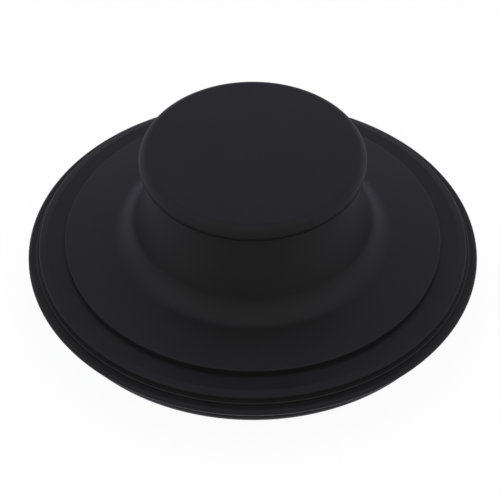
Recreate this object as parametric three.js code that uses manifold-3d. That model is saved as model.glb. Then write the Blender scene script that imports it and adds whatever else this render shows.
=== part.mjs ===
// Sink drain stopper: a flat round knob on a flared metal skirt, clamped by one screw over a rubber
// seal ring and a moulded carrier. Millimetres, +Z up, turned about the Z axis. The origin is the
// centre of the round foot that the stopper stands on, and z = 0 is the foot's plane.

import * as THREE from 'three';
import { mergeVertices } from 'three/addons/utils/BufferGeometryUtils.js';
import Module from 'manifold-3d';

const wasm = await Module();
wasm.setup();

// Driving dimensions.
const HEIGHT = 33.8; // foot to the top of the knob
const LIP_R = 42.5; // upper sealing lip, the widest part
const PLATE_R = 35.4; // rim of the plate
const PLATE_Z = 13.2; // top edge of the plate's rim
const PLATE_SLOPE = 6.3; // degrees that the plate falls towards its rim
const KNOB_R = 20.85;
const KNOB_THICK = 3.75; // height of the knob's rim
const KNOB_ROUND = 1.6; // rounding of that rim, above and below
const NECK_TOP_R = 18.3; // the neck's cone, measured at the knob's underside
const NECK_LEAN = 16.8; // degrees between the neck's cone and the axis
const NECK_FLARE = 5.2; // concave round where the neck runs out into the plate
const PLUG_R = 40.1; // lower lip, which enters the drain

// Sheet metal.
const KNOB_SHEET = 1.0;
const SKIRT_SHEET = 1.15;
const HEM_R = 17.9; // where the knob's rolled rim ends
const SKIRT_BEND = 1.6; // outer radius of the bend at the neck's top
const RIM_BREAK = 0.25; // rounding of the plate's top edge
const NECK_HOLE_R = 7.0; // hole in the neck's top for the knob's boss

// Heights of the joints between the pieces.
const KNOB_Z = HEIGHT - KNOB_THICK; // underside of the knob
const GASKET_THICK = 0.45;
const NECK_Z = KNOB_Z - GASKET_THICK; // top of the skirt
const WEB_Z = 9.3; // top of the carrier's web, under the seal
const SEAT_Z = 8.0; // ceiling of the screw's recess
const HUB_Z = 23.7; // top of the carrier's hub

// Seal ring, from the bore outwards and down.
const SEAL_BORE_R = 28.0;
const SEAL_CREASE_R = 38.95; // the flat top, which the plate lies on, ends here
const SHOULDER_R = 40.4;
const SHOULDER_Z = 11.75; // the top falls from its crease to this height
const SHOULDER_ROUND = 0.4;
const LEDGE_R = 41.0; // narrow step between the shoulder and the upper lip
const LEDGE_Z = 10.7;
const LEDGE_ROUND = 0.3;
const LIP_Z = 9.43; // widest point of the upper lip
const LIP_ROUND = 0.62;
const LAND_R = 40.3; // inner edge of the flat sealing land under the upper lip
const LAND_RISE = 0.5; // how far the lip's underside rises from the land to the groove
const GROOVE_R = 38.2; // groove between the two lips
const GROOVE_ROUND = 0.4;
const PLUG_Z = 5.87; // widest point of the lower lip
const PLUG_ROUND = 1.27;

// Carrier.
const CARRIER_R = 36.15; // wall that the seal is stretched over
const FLANGE_R = 37.3; // lip that keeps the seal on that wall
const FLANGE_THICK = 1.0;
const FLANGE_ROUND = 0.3;
const FOOT_R = 34.4;
const FOOT_WIDTH = 1.9;
const FOOT_ROUND = 0.5;
const FOOT_FLARE = 1.4; // how far the wall widens from the foot to the flange
const WEB_THICK = 2.2;
const WEB_FILLET = 0.8;
const RIBS = 6;
const RIB_THICK = 1.7;
const RIB_Z = 1.6; // lower edge of the ribs
const RIB_SINK = 0.5; // how far a rib runs into the wall and twice into the hub
const HUB_R = 9.4;
const HUB_LOW_Z = 0.8;
const HUB_ROUND = 0.4;
const RECESS_R = 7.2;
const COLUMN_R = 6.5;
const COLUMN_FILLET = 1.5;

// Screw, washers and insert.
const SCREW_R = 2.4;
const SCREW_HOLE_R = 2.8;
const SCREW_TOP_Z = 30.4;
const SCREW_TIP = 0.6; // chamfer of the screw's end
const HEAD_R = 4.75;
const HEAD_THICK = 3.2;
const HEAD_ROUND = 1.6;
const HEAD_EDGE = 0.5; // height of the head's domed edge over its end
const CROSS_WIDTH = 1.15;
const CROSS_LENGTH = 5.0;
const CROSS_DEPTH = 1.9;
const WASHER_HOLE_R = 2.7;
const WASHER_R = 6.6;
const WASHER_THICK = 1.0;
const WASHER_ROUND = 0.15;
const SPRING_HOLE_R = 2.65;
const SPRING_R = 4.6;
const SPRING_THICK = 1.2;
const SPRING_GAP = 0.8;
const SPRING_GAP_LEAN = 25; // degrees
const INSERT_R = 3.55;
const INSERT_ROUND = 0.2;
const INSERT_WAIST_R = 3.2;
const INSERT_WAIST = [0.5, 0.8]; // half heights of the waist's floor and mouth
const INSERT_Z = [24.0, 30.8];

// Knob core and neck gasket.
const CORE_GAP = 0.6; // between the core's edge and the knob's rolled rim
const CORE_ROUND = 0.4;
const CORE_TOP_ROUND = 0.8;
const GASKET_SETBACK = 0.9; // gasket's edge in from the neck's cone
const GASKET_HOLE = 0.2; // gasket's hole over the neck's

const CLEAR = 0.05; // clearance between pieces that slide together
const HAIR = 0.001; // keeps the two rounds of a full-round edge from meeting
const WELD = 0.0001; // points closer than this are one
const FACETS = 40; // sides of a turned piece
const SMALL_FACETS = 24; // sides of the screw, washers and insert
const ROUND_STEPS = [[0.5, 45], [1.5, 30], [Infinity, 18]]; // [largest radius, degrees per step]

const radians = THREE.MathUtils.degToRad;
const point = (r, z) => new THREE.Vector2(r, z);
const slope = Math.tan(radians(PLATE_SLOPE));
const lean = Math.tan(radians(NECK_LEAN));
const rimUnderside = PLATE_Z - SKIRT_SHEET / Math.cos(radians(PLATE_SLOPE));

// Direction from one corner of an outline to another.
function towards(from, to) {
  return point(to[0] - from[0], to[1] - from[1]).normalize();
}

// A turned outline is a list of corners [r, z, radius]. This rounds each corner that has a radius.
function roundCorners(corners, closed) {
  const outline = [];
  const count = corners.length;
  corners.forEach((corner, index) => {
    const [r, z, radius = 0] = corner;
    if (radius === 0) {
      outline.push(point(r, z));
      return;
    }
    const before = towards(corner, corners[(index + count - 1) % count]);
    const after = towards(corner, corners[(index + 1) % count]);
    const half = Math.acos(before.dot(after)) / 2;
    const reach = radius / Math.tan(half);
    const middle = before.clone().add(after).setLength(radius / Math.sin(half)).add(point(r, z));
    const start = before.multiplyScalar(reach).add(point(r, z)).sub(middle);
    const end = after.multiplyScalar(reach).add(point(r, z)).sub(middle);
    const turn = (Math.PI - 2 * half) * Math.sign(start.cross(end));
    const stepSize = radians(ROUND_STEPS.find(([largest]) => radius <= largest)[1]);
    const steps = Math.ceil(Math.abs(turn) / stepSize);
    for (let step = 0; step <= steps; step += 1) {
      outline.push(start.clone().rotateAround(point(0, 0), turn * step / steps).add(middle));
    }
  });
  if (closed) outline.push(outline[0].clone());
  return outline;
}

// Corners of a bent sheet: out along its lower face, and back along its upper face, which path gives.
// The path runs outward from the axis, so the lower face lies to its right.
function sheetCorners(path, thickness) {
  const normals = path.slice(1).map((corner, index) => {
    const along = towards(path[index], corner);
    return point(along.y, -along.x);
  });
  const lower = path.map(([r, z, radius = 0], index) => {
    const first = normals[Math.max(index - 1, 0)];
    const second = normals[Math.min(index, normals.length - 1)];
    const shift = first.clone().add(second).multiplyScalar(thickness / (1 + first.dot(second)));
    const bend = Math.sign(first.cross(second));
    const inner = radius === 0 ? 0 : Math.max(radius + bend * thickness, 0);
    return [r + shift.x, z + shift.y, inner];
  });
  return [...lower, ...[...path].reverse()];
}

// Turns a counter-clockwise outline (r to the right, z up) about the Z axis.
function turned(outline, facets) {
  return new THREE.LatheGeometry(outline, facets).rotateX(Math.PI / 2);
}

function ring(corners, facets = FACETS) {
  return turned(roundCorners(corners, true), facets);
}

function ontoAxis(corners, facets = FACETS) {
  return turned(roundCorners(corners, false), facets);
}

// Mesh to solid and back, for joins and cuts.
function solid(geometry) {
  const bare = geometry.clone();
  bare.deleteAttribute('normal');
  bare.deleteAttribute('uv');
  const merged = mergeVertices(bare, WELD);
  const triangles = [];
  for (let i = 0; i < merged.index.count; i += 3) {
    const corners = [merged.index.getX(i), merged.index.getX(i + 1), merged.index.getX(i + 2)];
    if (new Set(corners).size === 3) triangles.push(...corners);
  }
  const mesh = new wasm.Mesh({
    numProp: 3,
    vertProperties: new Float32Array(merged.attributes.position.array),
    triVerts: new Uint32Array(triangles),
  });
  return new wasm.Manifold(mesh);
}

function geometryOf(body) {
  const mesh = body.getMesh();
  const geometry = new THREE.BufferGeometry();
  geometry.setAttribute('position', new THREE.BufferAttribute(mesh.vertProperties, 3));
  geometry.setIndex(new THREE.BufferAttribute(mesh.triVerts, 1));
  geometry.computeVertexNormals();
  return geometry;
}

function knobCap() {
  const path = [
    [0, HEIGHT],
    [KNOB_R, HEIGHT, KNOB_ROUND],
    [KNOB_R, KNOB_Z, KNOB_ROUND],
    [HEM_R, KNOB_Z],
  ];
  return ontoAxis(sheetCorners(path, KNOB_SHEET));
}

function knobCore() {
  const ceiling = HEIGHT - KNOB_SHEET - CLEAR;
  const hemTop = KNOB_Z + KNOB_SHEET + CLEAR;
  const edge = KNOB_R - KNOB_SHEET - CORE_GAP;
  return ontoAxis([
    [0, INSERT_Z[1] + CLEAR],
    [INSERT_R + CLEAR, INSERT_Z[1] + CLEAR],
    [INSERT_R + CLEAR, HUB_Z + CLEAR],
    [COLUMN_R, HUB_Z + CLEAR, CORE_ROUND],
    [COLUMN_R, KNOB_Z],
    [HEM_R - CLEAR, KNOB_Z],
    [HEM_R - CLEAR, hemTop],
    [edge, hemTop, CORE_ROUND],
    [edge, ceiling, CORE_TOP_ROUND],
    [0, ceiling],
  ]);
}

function threadedInsert() {
  const [low, high] = INSERT_Z;
  const [floor, mouth] = INSERT_WAIST;
  const middle = (low + high) / 2;
  const bore = SCREW_R + CLEAR;
  return ring([
    [bore, low],
    [INSERT_R, low, INSERT_ROUND],
    [INSERT_R, middle - mouth],
    [INSERT_WAIST_R, middle - floor],
    [INSERT_WAIST_R, middle + floor],
    [INSERT_R, middle + mouth],
    [INSERT_R, high, INSERT_ROUND],
    [bore, high],
  ], SMALL_FACETS);
}

function neckGasket() {
  const inner = NECK_HOLE_R + GASKET_HOLE;
  const outer = NECK_TOP_R - GASKET_SETBACK;
  return ring([[inner, NECK_Z], [outer, NECK_Z], [outer, KNOB_Z], [inner, KNOB_Z]]);
}

function skirt() {
  // Where the neck's cone would meet the plate's cone, before the round between them.
  const meetR = (NECK_TOP_R + lean * (KNOB_Z - PLATE_Z - slope * PLATE_R)) / (1 - lean * slope);
  const meetZ = PLATE_Z + slope * (PLATE_R - meetR);
  const path = [
    [NECK_HOLE_R, NECK_Z],
    [NECK_TOP_R + GASKET_THICK * lean, NECK_Z, SKIRT_BEND],
    [meetR, meetZ, NECK_FLARE],
    [PLATE_R, PLATE_Z],
  ];
  const corners = sheetCorners(path, SKIRT_SHEET);
  // The rim is cut square to the foot's plane, and its top edge is broken.
  corners[path.length - 1] = [PLATE_R, rimUnderside];
  corners[path.length] = [PLATE_R, PLATE_Z, RIM_BREAK];
  return ring(corners);
}

function sealRing() {
  const lipTop = LIP_Z + LIP_ROUND;
  const lipLow = LIP_Z - LIP_ROUND;
  const plugTop = PLUG_Z + PLUG_ROUND;
  const plugLow = PLUG_Z - PLUG_ROUND;
  const wallR = CARRIER_R + CLEAR;
  return ring([
    [SEAL_BORE_R, WEB_Z],
    [wallR, WEB_Z],
    [wallR, plugLow],
    [PLUG_R, plugLow, PLUG_ROUND - HAIR],
    [PLUG_R, plugTop, PLUG_ROUND - HAIR],
    [GROOVE_R, plugTop, GROOVE_ROUND],
    [GROOVE_R, lipLow + LAND_RISE, GROOVE_ROUND],
    [LAND_R, lipLow],
    [LIP_R, lipLow, LIP_ROUND - HAIR],
    [LIP_R, lipTop, LIP_ROUND - HAIR],
    [LEDGE_R, lipTop],
    [LEDGE_R, LEDGE_Z, LEDGE_ROUND],
    [SHOULDER_R, LEDGE_Z],
    [SHOULDER_R, SHOULDER_Z, SHOULDER_ROUND],
    [SEAL_CREASE_R, rimUnderside],
    [PLATE_R, rimUnderside],
    [SEAL_BORE_R, rimUnderside + slope * (PLATE_R - SEAL_BORE_R)],
  ]);
}

function carrier() {
  const flangeTop = PLUG_Z - PLUG_ROUND;
  const flangeLow = flangeTop - FLANGE_THICK;
  const webUnder = WEB_Z - WEB_THICK;
  let body = solid(ring([
    [SCREW_HOLE_R, SEAT_Z],
    [RECESS_R, SEAT_Z],
    [RECESS_R, HUB_LOW_Z],
    [HUB_R, HUB_LOW_Z, HUB_ROUND],
    [HUB_R, webUnder],
    [CARRIER_R - FOOT_WIDTH, webUnder, WEB_FILLET],
    [FOOT_R - FOOT_WIDTH, 0],
    [FOOT_R, 0, FOOT_ROUND],
    [FOOT_R + FOOT_FLARE, flangeLow],
    [FLANGE_R, flangeLow, FLANGE_ROUND],
    [FLANGE_R, flangeTop, FLANGE_ROUND],
    [CARRIER_R, flangeTop],
    [CARRIER_R, WEB_Z],
    [COLUMN_R, WEB_Z, COLUMN_FILLET],
    [COLUMN_R, HUB_Z, HUB_ROUND],
    [SCREW_HOLE_R, HUB_Z],
  ]));
  const inner = HUB_R - 2 * RIB_SINK;
  const outer = FOOT_R - FOOT_WIDTH + RIB_SINK;
  const top = webUnder + WEB_THICK / 2;
  const rib = new THREE.BoxGeometry(outer - inner, RIB_THICK, top - RIB_Z)
    .translate((inner + outer) / 2, 0, (top + RIB_Z) / 2);
  for (let index = 0; index < RIBS; index += 1) {
    body = body.add(solid(rib.clone().rotateZ(2 * Math.PI * (index + 0.5) / RIBS)));
  }
  return geometryOf(body);
}

function flatWasher() {
  const low = SEAT_Z - WASHER_THICK;
  return ring([
    [WASHER_HOLE_R, low],
    [WASHER_R, low, WASHER_ROUND],
    [WASHER_R, SEAT_Z, WASHER_ROUND],
    [WASHER_HOLE_R, SEAT_Z],
  ], SMALL_FACETS);
}

function lockWasher() {
  const high = SEAT_Z - WASHER_THICK;
  const low = high - SPRING_THICK;
  const coil = ring([
    [SPRING_HOLE_R, low],
    [SPRING_R, low],
    [SPRING_R, high],
    [SPRING_HOLE_R, high],
  ], SMALL_FACETS);
  const slit = new THREE.BoxGeometry(SPRING_R, SPRING_GAP, 4 * SPRING_THICK)
    .rotateX(radians(SPRING_GAP_LEAN))
    .translate(SPRING_R, 0, (low + high) / 2);
  return geometryOf(solid(coil).subtract(solid(slit)));
}

function centreScrew() {
  const headTop = SEAT_Z - WASHER_THICK - SPRING_THICK;
  const headLow = headTop - HEAD_THICK;
  let screw = solid(ontoAxis([
    [0, headLow],
    [HEAD_R, headLow + HEAD_EDGE, HEAD_ROUND],
    [HEAD_R, headTop, WASHER_ROUND],
    [SCREW_R, headTop],
    [SCREW_R, SCREW_TOP_Z - SCREW_TIP],
    [SCREW_R - SCREW_TIP, SCREW_TOP_Z],
    [0, SCREW_TOP_Z],
  ], SMALL_FACETS));
  for (const angle of [0, Math.PI / 2]) {
    const slot = new THREE.BoxGeometry(CROSS_LENGTH, CROSS_WIDTH, 2 * CROSS_DEPTH)
      .rotateZ(angle)
      .translate(0, 0, headLow);
    screw = screw.subtract(solid(slot));
  }
  return geometryOf(screw);
}

// Colour, roughness and metalness.
const coating = [0x1b1b1e, 0.45, 0.0];
const rubber = [0x18181a, 0.5, 0.0];
const moulding = [0x1e1e20, 0.55, 0.0];
const brass = [0xb08d4a, 0.35, 1.0];
const steel = [0xb4b6b9, 0.35, 1.0];

const pieces = [
  ['knob_cap', knobCap(), coating],
  ['knob_core', knobCore(), moulding],
  ['threaded_insert', threadedInsert(), brass],
  ['neck_gasket', neckGasket(), rubber],
  ['skirt', skirt(), coating],
  ['seal_ring', sealRing(), rubber],
  ['carrier', carrier(), moulding],
  ['flat_washer', flatWasher(), steel],
  ['lock_washer', lockWasher(), steel],
  ['centre_screw', centreScrew(), steel],
];

const stopper = new THREE.Group();
for (const [name, geometry, [color, roughness, metalness]] of pieces) {
  const mesh = new THREE.Mesh(geometry, new THREE.MeshStandardMaterial({ color, roughness, metalness }));
  mesh.name = name;
  stopper.add(mesh);
}

export default stopper;
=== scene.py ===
import math

import bmesh
import bpy
from mathutils import Matrix, Vector


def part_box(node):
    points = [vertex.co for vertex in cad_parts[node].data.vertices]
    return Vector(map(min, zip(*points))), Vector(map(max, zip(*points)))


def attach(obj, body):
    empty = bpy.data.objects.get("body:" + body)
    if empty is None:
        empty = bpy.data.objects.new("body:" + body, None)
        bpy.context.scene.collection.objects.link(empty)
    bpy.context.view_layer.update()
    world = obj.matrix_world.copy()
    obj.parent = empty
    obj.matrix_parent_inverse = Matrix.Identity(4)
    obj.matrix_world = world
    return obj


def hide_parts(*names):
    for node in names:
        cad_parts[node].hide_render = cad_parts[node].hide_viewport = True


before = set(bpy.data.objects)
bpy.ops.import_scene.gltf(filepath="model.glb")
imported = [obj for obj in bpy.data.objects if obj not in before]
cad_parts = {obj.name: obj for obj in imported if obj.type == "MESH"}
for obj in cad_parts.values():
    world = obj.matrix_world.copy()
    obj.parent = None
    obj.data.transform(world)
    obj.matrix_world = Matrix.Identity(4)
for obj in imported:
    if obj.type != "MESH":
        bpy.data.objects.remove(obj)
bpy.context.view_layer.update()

BODY = "root"
MM = 0.001

# Places and sizes that model.glb gives, in metres.
KNOB_LOW, KNOB_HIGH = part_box("knob_cap")
CORE_LOW, CORE_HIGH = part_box("knob_core")
INSERT_LOW, INSERT_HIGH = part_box("threaded_insert")
GASKET_LOW, GASKET_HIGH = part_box("neck_gasket")
SKIRT_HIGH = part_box("skirt")[1]
SEAL_LOW, SEAL_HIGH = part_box("seal_ring")
CARRIER_LOW, CARRIER_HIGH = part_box("carrier")
WASHER_LOW, WASHER_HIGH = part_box("flat_washer")
SPRING_LOW, SPRING_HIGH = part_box("lock_washer")
SCREW_LOW, SCREW_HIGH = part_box("centre_screw")

# The knob: a drawn cup over a moulded core.
KNOB_R = KNOB_HIGH.x
KNOB_TOP = KNOB_HIGH.z
KNOB_Z = KNOB_LOW.z
KNOB_ROUND = 1.6 * MM
KNOB_SHEET = 1.0 * MM
HEM_R = 17.9 * MM  # where the cup's rolled rim ends, under the knob
CORE_STEP_ROUND = 0.4 * MM
CORE_EDGE_ROUND = 0.8 * MM
COLUMN_R = 6.5 * MM  # the core's boss, and the carrier's column below it

# The skirt: neck and plate in one sheet.
PLATE_R = SKIRT_HIGH.x
PLATE_Z = 13.2 * MM
PLATE_SLOPE = math.radians(6.3)
NECK_Z = SKIRT_HIGH.z
NECK_TOP_R = 18.3 * MM
NECK_LEAN = math.radians(16.8)
NECK_FLARE = 5.2 * MM
NECK_HOLE_R = 7.0 * MM
SKIRT_SHEET = 1.15 * MM
SKIRT_BEND = 1.6 * MM
RIM_BREAK = 0.25 * MM
GASKET_GAP = 0.2 * MM  # from the skirt's hole to the gasket's

# The seal ring, from its shoulder down.
SEAL_BORE_R = 28.0 * MM
SEAL_CREASE_R = 38.95 * MM
CREASE_ROUND = 1.0 * MM
SHOULDER_R = 40.4 * MM
SHOULDER_Z = 11.75 * MM
SHOULDER_ROUND = 0.4 * MM
LEDGE_R = 41.0 * MM
LEDGE_Z = 10.7 * MM
LEDGE_ROUND = 0.3 * MM
STEP_ROUND = 0.1 * MM  # inner corners of the steps
LIP_R = SEAL_HIGH.x
LIP_Z = 9.43 * MM
LIP_ROUND = 0.62 * MM
LAND_R = 40.3 * MM
LAND_RISE = 0.5 * MM
GROOVE_R = 38.2 * MM
GROOVE_ROUND = 0.4 * MM
PLUG_R = 40.1 * MM
PLUG_ROUND = 1.27 * MM
WALL_R = 36.2 * MM
WEB_Z = 9.3 * MM

# The carrier, and the ribs and ejector-pin marks on its underside.
FLANGE_R = CARRIER_HIGH.x
FLANGE_THICK = 1.0 * MM
FLANGE_ROUND = 0.3 * MM
FOOT_R = 34.4 * MM
FOOT_WIDTH = 1.9 * MM
FOOT_DRAFT = 1.4 * MM
FOOT_ROUND = 0.5 * MM
WEB_THICK = 2.2 * MM
WEB_FILLET = 0.8 * MM
HUB_R = 9.4 * MM
HUB_Z = 0.8 * MM
HUB_ROUND = 0.4 * MM
HUB_FILLET = 0.6 * MM
RECESS_R = 7.2 * MM
RECESS_ROUND = 0.3 * MM
SEAT_Z = WASHER_HIGH.z
BORE_R = 2.8 * MM
COLUMN_FILLET = 1.5 * MM
COLUMN_ROUND = 0.4 * MM
RIBS = 6
RIB_THICK = 1.7 * MM
RIB_Z = 1.6 * MM
RIB_DRAFT = 0.12 * MM
RIB_ROUND = 0.35 * MM
RIB_FLARE = 0.6 * MM
RIB_FILLET = 0.5 * MM
RIB_BLEND = 0.05 * MM
RIB_OVERLAP_IN = 1.0 * MM
RIB_OVERLAP_OUT = 0.5 * MM
PIN_R = 2.6 * MM
PIN_DEPTH = 0.15 * MM
PIN_SIDES = 36
PIN_OVERSHOOT = 1.0 * MM

# Fasteners.
SCREW_R = 2.4 * MM
HEAD_R = SCREW_HIGH.x
HEAD_RISE = 0.5 * MM
HEAD_ROUND = 1.6 * MM
HEAD_BREAK = 0.15 * MM
PLAIN_SHANK = 1.5 * MM
TIP_LENGTH = 0.8 * MM
TIP_CHAMFER = 0.6 * MM
THREAD_PITCH = 0.8 * MM
THREAD_DEPTH = 0.42 * MM
THREAD_STEPS = 8  # rings of points in each turn of thread
CROSS_MOUTH = (2.5 * MM, 0.62 * MM)  # half length and half width of each slot
CROSS_FLOOR = (1.1 * MM, 0.45 * MM)
CROSS_DEPTH = 2.1 * MM
CROSS_OVERSHOOT = 0.3 * MM
WASHER_GAP = 0.3 * MM  # round the screw
SPRING_GAP = 0.25 * MM
SLIT_WIDTH = 0.8 * MM
SLIT_LEAN = math.radians(25)
SLIT_OVERSHOOT = 0.5 * MM
KNURLS = 36
KNURL_DEPTH = 0.12 * MM
KNURL_REACH = 0.1 * MM  # how far in from the outer radius a point is still knurled
WAIST_DEPTH = 0.35 * MM  # groove round the insert's middle
WAIST_HALF = 0.5 * MM  # half its width at its floor
WAIST_MOUTH_HALF = 0.8 * MM

CLEAR = 0.05 * MM  # between pieces that touch
FULL = 1e-6  # keeps the two rounds of a full-round edge from meeting
TINY = 1e-7
SEGMENTS = 288
CARRIER_SEGMENTS = 192
SMALL_SEGMENTS = 128
SCREW_SEGMENTS = 96
ARC_STEP = math.radians(6)
SHARP = math.radians(30)
SHARP_THREAD = math.radians(40)


# ---------------------------------------------------------------- outlines

def rounded(corners, closed):
    """The points of an outline given as corners (r, z) or (r, z, radius)."""
    points = []
    for index, (r, z, *radius) in enumerate(corners):
        here = Vector((r, z))
        if not radius or radius[0] <= 0:
            points.append(here)
            continue
        size = radius[0]
        before = (Vector(corners[index - 1][:2]) - here).normalized()
        after = (Vector(corners[(index + 1) % len(corners)][:2]) - here).normalized()
        half = before.angle(after) / 2
        middle = here + (before + after).normalized() * size / math.sin(half)
        start = here + before * size / math.tan(half) - middle
        end = here + after * size / math.tan(half) - middle
        turn = math.pi - 2 * half
        side = 1 if start.x * end.y - start.y * end.x > 0 else -1
        steps = max(2, math.ceil(turn / ARC_STEP))
        for count in range(steps + 1):
            angle = side * turn * count / steps
            cos, sin = math.cos(angle), math.sin(angle)
            points.append(middle + Vector((start.x * cos - start.y * sin, start.x * sin + start.y * cos)))
    if closed:
        points.append(points[0].copy())
    return points


def sheet(path, thickness):
    """Corners of a bent sheet, lower face first. path is its upper face, from the axis outward."""
    normals = []
    for first, second in zip(path, path[1:]):
        along = (Vector(second[:2]) - Vector(first[:2])).normalized()
        normals.append(Vector((along.y, -along.x)))
    lower = []
    for index, (r, z, *radius) in enumerate(path):
        first = normals[max(index - 1, 0)]
        second = normals[min(index, len(normals) - 1)]
        shift = (first + second) * thickness / (1 + first.dot(second))
        bend = 1 if first.x * second.y - first.y * second.x > 0 else -1
        inner = max(radius[0] + bend * thickness, 0) if radius else 0
        lower.append((r + shift.x, z + shift.y, inner))
    return lower + path[::-1]


# ---------------------------------------------------------------- meshes

def add(name, data):
    """A new object in the scene."""
    made = bpy.data.objects.new(name, data)
    bpy.context.scene.collection.objects.link(made)
    return made


def smooth(mesh, sharp):
    mesh.shade_smooth()
    mesh.set_sharp_from_angle(angle=sharp)


def turned(name, outline, segments=SEGMENTS, shape=None, sharp=SHARP):
    """A mesh turned about Z from an outline. shape(r, z, angle) may change a point's radius."""
    closed = (outline[0] - outline[-1]).length < TINY
    vertices = []
    rings = []
    for r, z in outline[:-1] if closed else outline:
        if r < TINY:
            rings.append([len(vertices)])
            vertices.append((0, 0, z))
            continue
        rings.append(list(range(len(vertices), len(vertices) + segments)))
        for count in range(segments):
            angle = 2 * math.pi * count / segments
            radius = shape(r, z, angle) if shape else r
            vertices.append((radius * math.cos(angle), radius * math.sin(angle), z))
    pairs = list(zip(rings, rings[1:]))
    if closed:
        pairs.append((rings[-1], rings[0]))
    faces = []
    for low, high in pairs:
        for count in range(segments):
            after = (count + 1) % segments
            corners = [low[count % len(low)], low[after % len(low)]]
            corners += [high[after % len(high)], high[count % len(high)]]
            unique = list(dict.fromkeys(corners))
            if len(unique) > 2:
                faces.append(unique)
    mesh = bpy.data.meshes.new(name)
    mesh.from_pydata(vertices, [], faces)
    mesh.validate()
    smooth(mesh, sharp)
    return add(name, mesh)


def prism(name, outline, low, high, end=None):
    """A solid between a counter-clockwise outline of (x, y) and another like it, for cutting and joining."""
    shape = bmesh.new()
    bottom = [shape.verts.new((x, y, low)) for x, y in outline]
    top = [shape.verts.new((x, y, high)) for x, y in end or outline]
    shape.faces.new(bottom[::-1])
    shape.faces.new(top)
    for index in range(len(outline)):
        after = (index + 1) % len(outline)
        shape.faces.new((bottom[index], bottom[after], top[after], top[index]))
    mesh = bpy.data.meshes.new(name)
    shape.to_mesh(mesh)
    shape.free()
    return add(name, mesh)


def rectangle(half_x, half_y, middle_x=0):
    """Counter-clockwise corners."""
    low, high = middle_x - half_x, middle_x + half_x
    return [(low, -half_y), (high, -half_y), (high, half_y), (low, half_y)]


def turn_by(piece, angle):
    """Turns a piece's mesh about Z."""
    piece.data.transform(Matrix.Rotation(angle, 4, "Z"))


def combine(piece, other, operation, sharp=SHARP):
    """Joins other to piece or cuts it away, and removes other."""
    modifier = piece.modifiers.new("combine", "BOOLEAN")
    modifier.operation = operation
    modifier.solver = "EXACT"
    modifier.object = other
    result = bpy.data.meshes.new_from_object(piece.evaluated_get(bpy.context.evaluated_depsgraph_get()))
    piece.modifiers.clear()
    piece.data = result
    bpy.data.objects.remove(other)
    smooth(result, sharp)


# ---------------------------------------------------------------- pieces

def skirt_foot():
    """Where the neck's cone would meet the plate's cone."""
    lean, slope = math.tan(NECK_LEAN), math.tan(PLATE_SLOPE)
    r = (NECK_TOP_R + lean * (KNOB_Z - PLATE_Z - slope * PLATE_R)) / (1 - lean * slope)
    return r, PLATE_Z + slope * (PLATE_R - r)


def make_knob_cap():
    path = [(0, KNOB_TOP), (KNOB_R, KNOB_TOP, KNOB_ROUND), (KNOB_R, KNOB_Z, KNOB_ROUND), (HEM_R, KNOB_Z)]
    return turned("knob_cap_fine", rounded(sheet(path, KNOB_SHEET), False))


def make_skirt():
    bend_r = NECK_TOP_R + (KNOB_Z - NECK_Z) * math.tan(NECK_LEAN)
    path = [
        (NECK_HOLE_R, NECK_Z),
        (bend_r, NECK_Z, SKIRT_BEND),
        (*skirt_foot(), NECK_FLARE),
        (PLATE_R, PLATE_Z),
    ]
    corners = sheet(path, SKIRT_SHEET)
    corners[len(path) - 1] = (PLATE_R, PLATE_Z - SKIRT_SHEET / math.cos(PLATE_SLOPE))
    corners[len(path)] = (PLATE_R, PLATE_Z, RIM_BREAK)
    return turned("skirt_fine", rounded(corners, True))


def make_seal_ring():
    slope = math.tan(PLATE_SLOPE)
    seat = PLATE_Z - SKIRT_SHEET / math.cos(PLATE_SLOPE)
    lip_top, lip_low = LIP_Z + LIP_ROUND, LIP_Z - LIP_ROUND
    plug_low = SEAL_LOW.z
    plug_top = plug_low + 2 * PLUG_ROUND
    return turned("seal_ring_fine", rounded([
        (SEAL_BORE_R, WEB_Z),
        (WALL_R, WEB_Z),
        (WALL_R, plug_low),
        (PLUG_R, plug_low, PLUG_ROUND - FULL),
        (PLUG_R, plug_top, PLUG_ROUND - FULL),
        (GROOVE_R, plug_top, GROOVE_ROUND),
        (GROOVE_R, lip_low + LAND_RISE, GROOVE_ROUND),
        (LAND_R, lip_low),
        (LIP_R, lip_low, LIP_ROUND - FULL),
        (LIP_R, lip_top, LIP_ROUND - FULL),
        (LEDGE_R, lip_top, STEP_ROUND),
        (LEDGE_R, LEDGE_Z, LEDGE_ROUND),
        (SHOULDER_R, LEDGE_Z, STEP_ROUND),
        (SHOULDER_R, SHOULDER_Z, SHOULDER_ROUND),
        (SEAL_CREASE_R, seat, CREASE_ROUND),
        (PLATE_R, seat),
        (SEAL_BORE_R, seat + slope * (PLATE_R - SEAL_BORE_R)),
    ], True))


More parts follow.
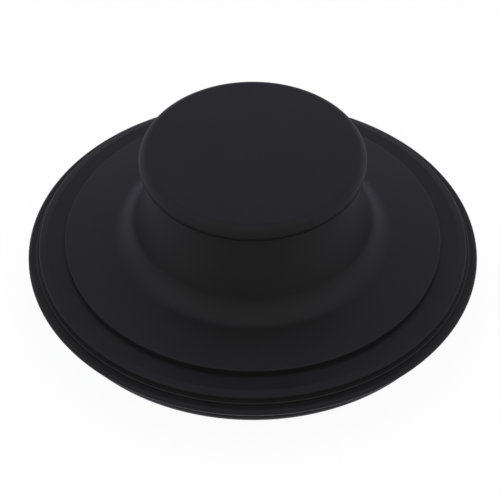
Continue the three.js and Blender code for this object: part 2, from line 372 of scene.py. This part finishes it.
def make_carrier():
    flange_top = SEAL_LOW.z
    flange_low = flange_top - FLANGE_THICK
    under = WEB_Z - WEB_THICK
    wall_r = WALL_R - CLEAR
    foot_inner_r = FOOT_R - FOOT_WIDTH
    piece = turned("carrier_fine", rounded([
        (BORE_R, SEAT_Z),
        (RECESS_R, SEAT_Z, RECESS_ROUND),
        (RECESS_R, HUB_Z, RECESS_ROUND),
        (HUB_R, HUB_Z, HUB_ROUND),
        (HUB_R, under, HUB_FILLET),
        (wall_r - FOOT_WIDTH, under, WEB_FILLET),
        (foot_inner_r, CARRIER_LOW.z, FOOT_ROUND / 2),
        (FOOT_R, CARRIER_LOW.z, FOOT_ROUND),
        (FOOT_R + FOOT_DRAFT, flange_low, FLANGE_ROUND),
        (FLANGE_R, flange_low, FLANGE_ROUND),
        (FLANGE_R, flange_top, FLANGE_ROUND),
        (wall_r, flange_top),
        (wall_r, WEB_Z),
        (COLUMN_R, WEB_Z, COLUMN_FILLET),
        (COLUMN_R, CARRIER_HIGH.z, COLUMN_ROUND),
        (BORE_R, CARRIER_HIGH.z),
    ], True), segments=CARRIER_SEGMENTS)
    inner, outer = HUB_R - RIB_OVERLAP_IN, foot_inner_r + RIB_OVERLAP_OUT
    for index in range(RIBS):
        rib = make_rib(under, inner, outer)
        turn_by(rib, 2 * math.pi * (index + 0.5) / RIBS)
        combine(piece, rib, "UNION")
    pin_turns = [2 * math.pi * side / PIN_SIDES for side in range(PIN_SIDES)]
    pin = [(PIN_R * math.cos(turn), PIN_R * math.sin(turn)) for turn in pin_turns]
    for index in range(RIBS):
        mark = prism("pin_mark", pin, under - PIN_OVERSHOOT, under + PIN_DEPTH)
        mark.data.transform(Matrix.Translation(((inner + outer) / 2, 0, 0)))
        turn_by(mark, 2 * math.pi * index / RIBS)
        combine(piece, mark, "DIFFERENCE")
    return piece


def make_rib(under, inner, outer):
    """A rib along X with draft, rounded lower edges and a fillet under the web. It is drawn end on."""
    half, top = RIB_THICK / 2, under + WEB_THICK / 2
    outline = rounded([
        (top, half + RIB_FLARE),
        (under, half + RIB_FLARE, RIB_BLEND),
        (under, half, RIB_FILLET),
        (RIB_Z, half - RIB_DRAFT, RIB_ROUND),
        (RIB_Z, RIB_DRAFT - half, RIB_ROUND),
        (under, -half, RIB_FILLET),
        (under, -half - RIB_FLARE, RIB_BLEND),
        (top, -half - RIB_FLARE),
    ], False)
    rib = prism("rib", outline, inner, outer)
    swap_x_and_z = Matrix(((0, 0, 1, 0), (0, 1, 0, 0), (1, 0, 0, 0), (0, 0, 0, 1)))
    rib.data.transform(swap_x_and_z)
    rib.data.flip_normals()
    return rib


def make_knob_core():
    hem_top = KNOB_Z + KNOB_SHEET + CLEAR
    edge = CORE_HIGH.x
    hole_r, hole_top = INSERT_HIGH.x + CLEAR, INSERT_HIGH.z + CLEAR
    return turned("knob_core_fine", rounded([
        (0, hole_top),
        (hole_r, hole_top),
        (hole_r, CORE_LOW.z),
        (COLUMN_R, CORE_LOW.z, CORE_STEP_ROUND),
        (COLUMN_R, KNOB_Z),
        (HEM_R - CLEAR, KNOB_Z),
        (HEM_R - CLEAR, hem_top),
        (edge, hem_top, CORE_STEP_ROUND),
        (edge, CORE_HIGH.z, CORE_EDGE_ROUND),
        (0, CORE_HIGH.z),
    ], False), segments=SMALL_SEGMENTS)


def make_threaded_insert():
    middle = (INSERT_LOW.z + INSERT_HIGH.z) / 2
    bore, outer = SCREW_R + CLEAR, INSERT_HIGH.x
    waist = outer - WAIST_DEPTH
    edge_round = 0.2 * MM

    def knurl(r, z, angle):
        if r > outer - KNURL_REACH:
            return r - KNURL_DEPTH * (0.5 + 0.5 * math.cos(KNURLS * angle))
        return r

    return turned("threaded_insert_fine", rounded([
        (bore, INSERT_LOW.z),
        (outer, INSERT_LOW.z, edge_round),
        (outer, middle - WAIST_MOUTH_HALF),
        (waist, middle - WAIST_HALF),
        (waist, middle + WAIST_HALF),
        (outer, middle + WAIST_MOUTH_HALF),
        (outer, INSERT_HIGH.z, edge_round),
        (bore, INSERT_HIGH.z),
    ], True), shape=knurl)


def make_neck_gasket():
    inner, outer = NECK_HOLE_R + GASKET_GAP, GASKET_HIGH.x
    edge = (GASKET_HIGH.z - GASKET_LOW.z) / 2 - FULL
    return turned("neck_gasket_fine", rounded([
        (inner, GASKET_LOW.z),
        (outer, GASKET_LOW.z, edge),
        (outer, GASKET_HIGH.z, edge),
        (inner, GASKET_HIGH.z),
    ], True), segments=SMALL_SEGMENTS)


def make_flat_washer():
    """A punched washer, rounder on the side that the punch entered."""
    inner = SCREW_R + WASHER_GAP
    hole_round, punched_round, burr_round = 0.08 * MM, 0.2 * MM, 0.05 * MM
    return turned("flat_washer_fine", rounded([
        (inner, WASHER_LOW.z, hole_round),
        (WASHER_HIGH.x, WASHER_LOW.z, punched_round),
        (WASHER_HIGH.x, WASHER_HIGH.z, burr_round),
        (inner, WASHER_HIGH.z),
    ], True), segments=SMALL_SEGMENTS)


def make_lock_washer():
    """A spring washer, split by one leaning slit."""
    inner, outer = SCREW_R + SPRING_GAP, SPRING_HIGH.x
    inner_round, outer_round = 0.1 * MM, 0.15 * MM
    piece = turned("lock_washer_fine", rounded([
        (inner, SPRING_LOW.z, inner_round),
        (outer, SPRING_LOW.z, outer_round),
        (outer, SPRING_HIGH.z, outer_round),
        (inner, SPRING_HIGH.z, inner_round),
    ], True), segments=SMALL_SEGMENTS)
    reach = 2 * (SPRING_HIGH.z - SPRING_LOW.z)
    start = inner - SLIT_OVERSHOOT
    slit = prism("slit", rectangle(outer, SLIT_WIDTH / 2, middle_x=outer), -reach, reach)
    slit.data.transform(Matrix.Rotation(SLIT_LEAN, 4, "X"))
    slit.data.transform(Matrix.Translation((start, 0, (SPRING_LOW.z + SPRING_HIGH.z) / 2)))
    combine(piece, slit, "DIFFERENCE")
    return piece


def make_centre_screw():
    head_top = SPRING_LOW.z
    thread_low, thread_high = head_top + PLAIN_SHANK, SCREW_HIGH.z - TIP_LENGTH
    rings = THREAD_STEPS * round((SCREW_HIGH.z - thread_low) / THREAD_PITCH)

    def thread(r, z, angle):
        if abs(r - SCREW_R) > TINY or z < thread_low:
            return r
        turns = (z - thread_low) / THREAD_PITCH
        phase = (turns - angle / (2 * math.pi)) % 1
        return r - min(1, turns) * THREAD_DEPTH * abs(2 * phase - 1)

    head = rounded([
        (0, SCREW_LOW.z),
        (HEAD_R, SCREW_LOW.z + HEAD_RISE, HEAD_ROUND),
        (HEAD_R, head_top, HEAD_BREAK),
        (SCREW_R, head_top),
        (SCREW_R, thread_low),
    ], False)
    shank = []
    for ring in range(1, rings + 1):
        shank.append(Vector((SCREW_R, thread_low + (thread_high - thread_low) * ring / rings)))
    tip = [Vector((SCREW_R - TIP_CHAMFER, SCREW_HIGH.z)), Vector((0, SCREW_HIGH.z))]
    outline = head + shank + tip
    screw = turned("centre_screw_fine", outline, SCREW_SEGMENTS, thread, SHARP_THREAD)
    for angle in (0, math.pi / 2):
        low, high = SCREW_LOW.z - CROSS_OVERSHOOT, SCREW_LOW.z + CROSS_DEPTH
        slot = prism("slot", rectangle(*CROSS_MOUTH), low, high, end=rectangle(*CROSS_FLOOR))
        turn_by(slot, angle)
        combine(screw, slot, "DIFFERENCE", SHARP_THREAD)
    return screw


# ---------------------------------------------------------------- node trees

NOISE_LOW, NOISE_HIGH = 0.3, 0.7  # most of a noise texture's values lie between these


class Nodes:
    """A node tree built up node by node. A value is a number, a colour (r, g, b, 1) or a node's output."""

    def __init__(self, tree):
        self.tree = tree

    def node(self, kind, **settings):
        made = self.tree.nodes.new(kind)
        for key, value in settings.items():
            setattr(made, key, value)
        return made

    def feed(self, socket, value):
        if isinstance(value, bpy.types.NodeSocket):
            self.tree.links.new(value, socket)
        else:
            socket.default_value = value

    def calc(self, operation, *values):
        made = self.node("ShaderNodeMath", operation=operation)
        for socket, value in zip(made.inputs, values):
            self.feed(socket, value)
        return made.outputs["Value"]

    def mix(self, amount, first, second):
        """A colour between two, by amount."""
        made = self.node("ShaderNodeMix", data_type="RGBA")
        self.feed(made.inputs["Factor"], amount)
        self.feed(made.inputs[6], first)
        self.feed(made.inputs[7], second)
        return made.outputs[2]


class Look(Nodes):
    """A Principled material."""

    def __init__(self, name, **values):
        self.material = bpy.data.materials.new(name)
        self.material.use_nodes = True
        super().__init__(self.material.node_tree)
        self.shader = self.tree.nodes["Principled BSDF"]
        for key, value in values.items():
            self.set(key.replace("_", " "), value)
        self.place = self.node("ShaderNodeTexCoord").outputs["Object"]

    def set(self, name, value):
        self.feed(self.shader.inputs[name], value)

    def noise(self, size, detail):
        """Noise whose features are about size across, in metres."""
        mapping = self.node("ShaderNodeMapping")
        mapping.inputs["Scale"].default_value = [1 / size] * 3
        self.feed(mapping.inputs["Vector"], self.place)
        texture = self.node("ShaderNodeTexNoise")
        texture.inputs["Scale"].default_value = 1
        texture.inputs["Detail"].default_value = detail
        self.feed(texture.inputs["Vector"], mapping.outputs["Vector"])
        return texture.outputs["Fac"]

    def span(self, value, low, high, start=NOISE_LOW, end=NOISE_HIGH):
        """value from start..end mapped to low..high."""
        made = self.node("ShaderNodeMapRange")
        self.feed(made.inputs["Value"], value)
        for key, number in (("From Min", start), ("From Max", end), ("To Min", low), ("To Max", high)):
            made.inputs[key].default_value = number
        return made.outputs["Result"]

    def drift(self, noise, colours, roughness, colour_start=NOISE_LOW):
        """Colour and roughness that drift between two values each, with the noise."""
        self.set("Base Color", self.mix(self.span(noise, 0, 1, colour_start), *colours))
        self.set("Roughness", self.span(noise, *roughness))

    def radius(self):
        """Distance from the Z axis."""
        flat = self.node("ShaderNodeVectorMath", operation="MULTIPLY")
        self.feed(flat.inputs[0], self.place)
        flat.inputs[1].default_value = (1, 1, 0)
        length = self.node("ShaderNodeVectorMath", operation="LENGTH")
        self.feed(length.inputs[0], flat.outputs["Vector"])
        return length.outputs["Value"]

    def bump(self, height, depth):
        """Bump from a height of 0 to 1 that stands for depth metres."""
        made = self.node("ShaderNodeBump")
        made.inputs["Distance"].default_value = depth
        self.feed(made.inputs["Height"], height)
        self.set("Normal", made.outputs["Normal"])


# ---------------------------------------------------------------- materials

def coating():
    """Fine satin black paint on drawn metal."""
    look = Look("black_coating")
    colours = ((0.0230, 0.0230, 0.0205, 1), (0.0270, 0.0270, 0.0245, 1))
    look.drift(look.noise(size=9 * MM, detail=4), colours, roughness=(0.40, 0.44))
    look.bump(look.noise(size=0.35 * MM, detail=2), depth=0.002 * MM)
    return look.material


def rubber():
    """Moulded black rubber, a little smoother than the paint."""
    look = Look("black_rubber")
    colours = ((0.0190, 0.0190, 0.0170, 1), (0.0230, 0.0230, 0.0210, 1))
    look.drift(look.noise(size=6 * MM, detail=4), colours, roughness=(0.35, 0.40))
    look.bump(look.noise(size=0.2 * MM, detail=3), depth=0.003 * MM)
    return look.material


def moulding():
    """Dull black plastic with a spark-eroded grain."""
    look = Look("black_moulding")
    colours = ((0.020, 0.020, 0.020, 1), (0.025, 0.025, 0.025, 1))
    look.drift(look.noise(size=12 * MM, detail=3), colours, roughness=(0.5, 0.6))
    look.bump(look.noise(size=0.25 * MM, detail=2), depth=0.006 * MM)
    return look.material


def turned_metal(name, colours, roughness):
    """Bare metal with fine turning rings and smears of handling."""
    look = Look(name, Metallic=1.0)
    ring_width = 0.12 * MM
    rings = look.node("ShaderNodeTexNoise", noise_dimensions="1D")
    rings.inputs["Scale"].default_value = 1 / ring_width
    rings.inputs["Detail"].default_value = 4
    look.feed(rings.inputs["W"], look.radius())
    look.drift(look.noise(size=1.5 * MM, detail=3), colours, roughness, colour_start=0.35)
    look.bump(rings.outputs["Fac"], depth=0.004 * MM)
    return look.material


def brass():
    colours = ((0.58, 0.40, 0.16, 1), (0.48, 0.31, 0.11, 1))
    return turned_metal("brass", colours, roughness=(0.28, 0.40))


def steel():
    colours = ((0.60, 0.60, 0.61, 1), (0.50, 0.50, 0.51, 1))
    return turned_metal("stainless", colours, roughness=(0.22, 0.34))


# ---------------------------------------------------------------- the stage

VIEW_ELEVATION = math.radians(43.55)
VIEW_DISTANCE = 9.5 * LIP_R
VIEW_ASIDE = -0.0123 * LIP_R
VIEW_HEIGHT = 13.1 * MM
VIEW_DROP = 0.1026 * LIP_R  # how far below that height the camera aims
LENS = 153.9

TABLE_HALF = 3.0
TABLE_GAP = 0.02 * MM
TABLE_GREY = 0.2
TABLE_GLOW = 0.94
WHITE = (1, 1, 1, 1)
ABOVE_ONE = 1.0001  # keeps a division from meeting zero straight up and down

# Brightness of the studio all round the object, as (degrees above the horizon, level).
# The light below the horizon is what a white table throws back.
SKY = {
    "front": [(-90, 0.62), (-56, 0.60), (-40, 0.30), (-10, 0.15), (20, 0.26), (60, 0.29), (90, 0.33)],
    "side": [(-90, 0.60), (-52, 0.56), (-28, 0.29), (20, 0.34), (60, 0.38), (90, 0.33)],
    "back": [
        (-90, 0.48), (-50, 0.42), (-25, 0.34), (-8, 0.37), (4, 0.62), (16, 0.44), (50, 0.18), (90, 0.33),
    ],
}
SKY_TINT = {"front": (1.0, 1.0, 1.0), "side": (0.97, 0.95, 1.08), "back": (0.94, 0.91, 1.15)}


def make_camera():
    """A view from about 44 degrees above the horizon, about 40 cm away."""
    data = bpy.data.cameras.new("camera")
    data.sensor_width = 36
    data.lens = LENS
    data.clip_start = 0.01
    camera = add("camera", data)
    away = VIEW_DISTANCE * math.cos(VIEW_ELEVATION)
    camera.location = (VIEW_ASIDE, -away, VIEW_HEIGHT + VIEW_DISTANCE * math.sin(VIEW_ELEVATION))
    target = Vector((VIEW_ASIDE, 0, VIEW_HEIGHT - VIEW_DROP))
    camera.rotation_euler = (target - camera.location).to_track_quat("-Z", "Y").to_euler()
    bpy.context.scene.camera = camera


def white_table():
    """A white that glows a little, so that it stays white under the object, and is clear from below."""
    grey = (TABLE_GREY, TABLE_GREY, TABLE_GREY, 1)
    look = Look("white_table", Roughness=1.0, Specular_IOR_Level=0.0, Base_Color=grey)
    look.set("Emission Color", WHITE)
    look.set("Emission Strength", TABLE_GLOW)
    clear = look.node("ShaderNodeBsdfTransparent")
    sides = look.node("ShaderNodeMixShader")
    look.feed(sides.inputs["Fac"], look.node("ShaderNodeNewGeometry").outputs["Backfacing"])
    look.feed(sides.inputs[1], look.shader.outputs["BSDF"])
    look.feed(sides.inputs[2], clear.outputs["BSDF"])
    look.feed(look.tree.nodes["Material Output"].inputs["Surface"], sides.outputs["Shader"])
    return look.material


def make_floor():
    """The table, which the object neither reflects nor is lit by: the world stands for it there."""
    level = CARRIER_LOW.z - TABLE_GAP
    mesh = bpy.data.meshes.new("floor")
    corners = [(x, y, level) for x, y in rectangle(TABLE_HALF, TABLE_HALF)]
    mesh.from_pydata(corners, [], [(0, 1, 2, 3)])
    mesh.materials.append(white_table())
    floor = add("floor", mesh)
    floor.visible_glossy = False
    floor.visible_diffuse = False
    floor.visible_shadow = False


def make_world():
    """Soft studio light from all round, in three bands, and a plain white wall behind everything."""
    world = bpy.data.worlds.new("studio")
    world.use_nodes = True
    bpy.context.scene.world = world
    studio = Nodes(world.node_tree)
    split = studio.node("ShaderNodeSeparateXYZ")
    studio.feed(split.inputs[0], studio.node("ShaderNodeTexCoord").outputs["Generated"])
    along, up = split.outputs["Y"], split.outputs["Z"]
    elevation = studio.calc("ADD", studio.calc("DIVIDE", studio.calc("ARCSINE", up), math.pi), 0.5)
    bands = {name: sky_band(studio, elevation, name) for name in SKY}
    # How far round towards the front or the back, as the squared cosine of the bearing.
    flat = studio.calc("SQRT", studio.calc("SUBTRACT", ABOVE_ONE, studio.calc("MULTIPLY", up, up)))
    bearing = studio.calc("DIVIDE", along, flat)
    front = studio.calc("POWER", studio.calc("MAXIMUM", studio.calc("MULTIPLY", bearing, -1), 0), 2)
    back = studio.calc("POWER", studio.calc("MAXIMUM", bearing, 0), 2)
    light = studio.mix(back, studio.mix(front, bands["side"], bands["front"]), bands["back"])
    seen = studio.node("ShaderNodeLightPath").outputs["Is Camera Ray"]
    studio.feed(studio.tree.nodes["Background"].inputs["Color"], studio.mix(seen, light, WHITE))


def sky_band(studio, elevation, name):
    """The light of one band of the sky, by elevation from 0, straight down, to 1, straight up."""
    ramp = studio.node("ShaderNodeValToRGB")
    studio.feed(ramp.inputs["Fac"], elevation)
    elements = ramp.color_ramp.elements
    for _ in SKY[name][2:]:
        elements.new(0.5)
    for element, (degrees, level) in zip(elements, SKY[name]):
        element.position = 0.5 + degrees / 180
        element.color = [level * part for part in SKY_TINT[name]] + [1]
    return ramp.outputs["Color"]


# ---------------------------------------------------------------- the build

make_camera()
make_floor()
make_world()
bpy.context.scene.view_settings.view_transform = "Standard"

LOOKS = {
    "coating": coating(),
    "rubber": rubber(),
    "moulding": moulding(),
    "brass": brass(),
    "steel": steel(),
}
PIECES = [
    ("knob_cap", make_knob_cap, "coating"),
    ("knob_core", make_knob_core, "moulding"),
    ("threaded_insert", make_threaded_insert, "brass"),
    ("neck_gasket", make_neck_gasket, "rubber"),
    ("skirt", make_skirt, "coating"),
    ("seal_ring", make_seal_ring, "rubber"),
    ("carrier", make_carrier, "moulding"),
    ("flat_washer", make_flat_washer, "steel"),
    ("lock_washer", make_lock_washer, "steel"),
    ("centre_screw", make_centre_screw, "steel"),
]
for node, make, look in PIECES:
    piece = make()
    piece.data.materials.clear()
    piece.data.materials.append(LOOKS[look])
    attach(piece, BODY)
    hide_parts(node)
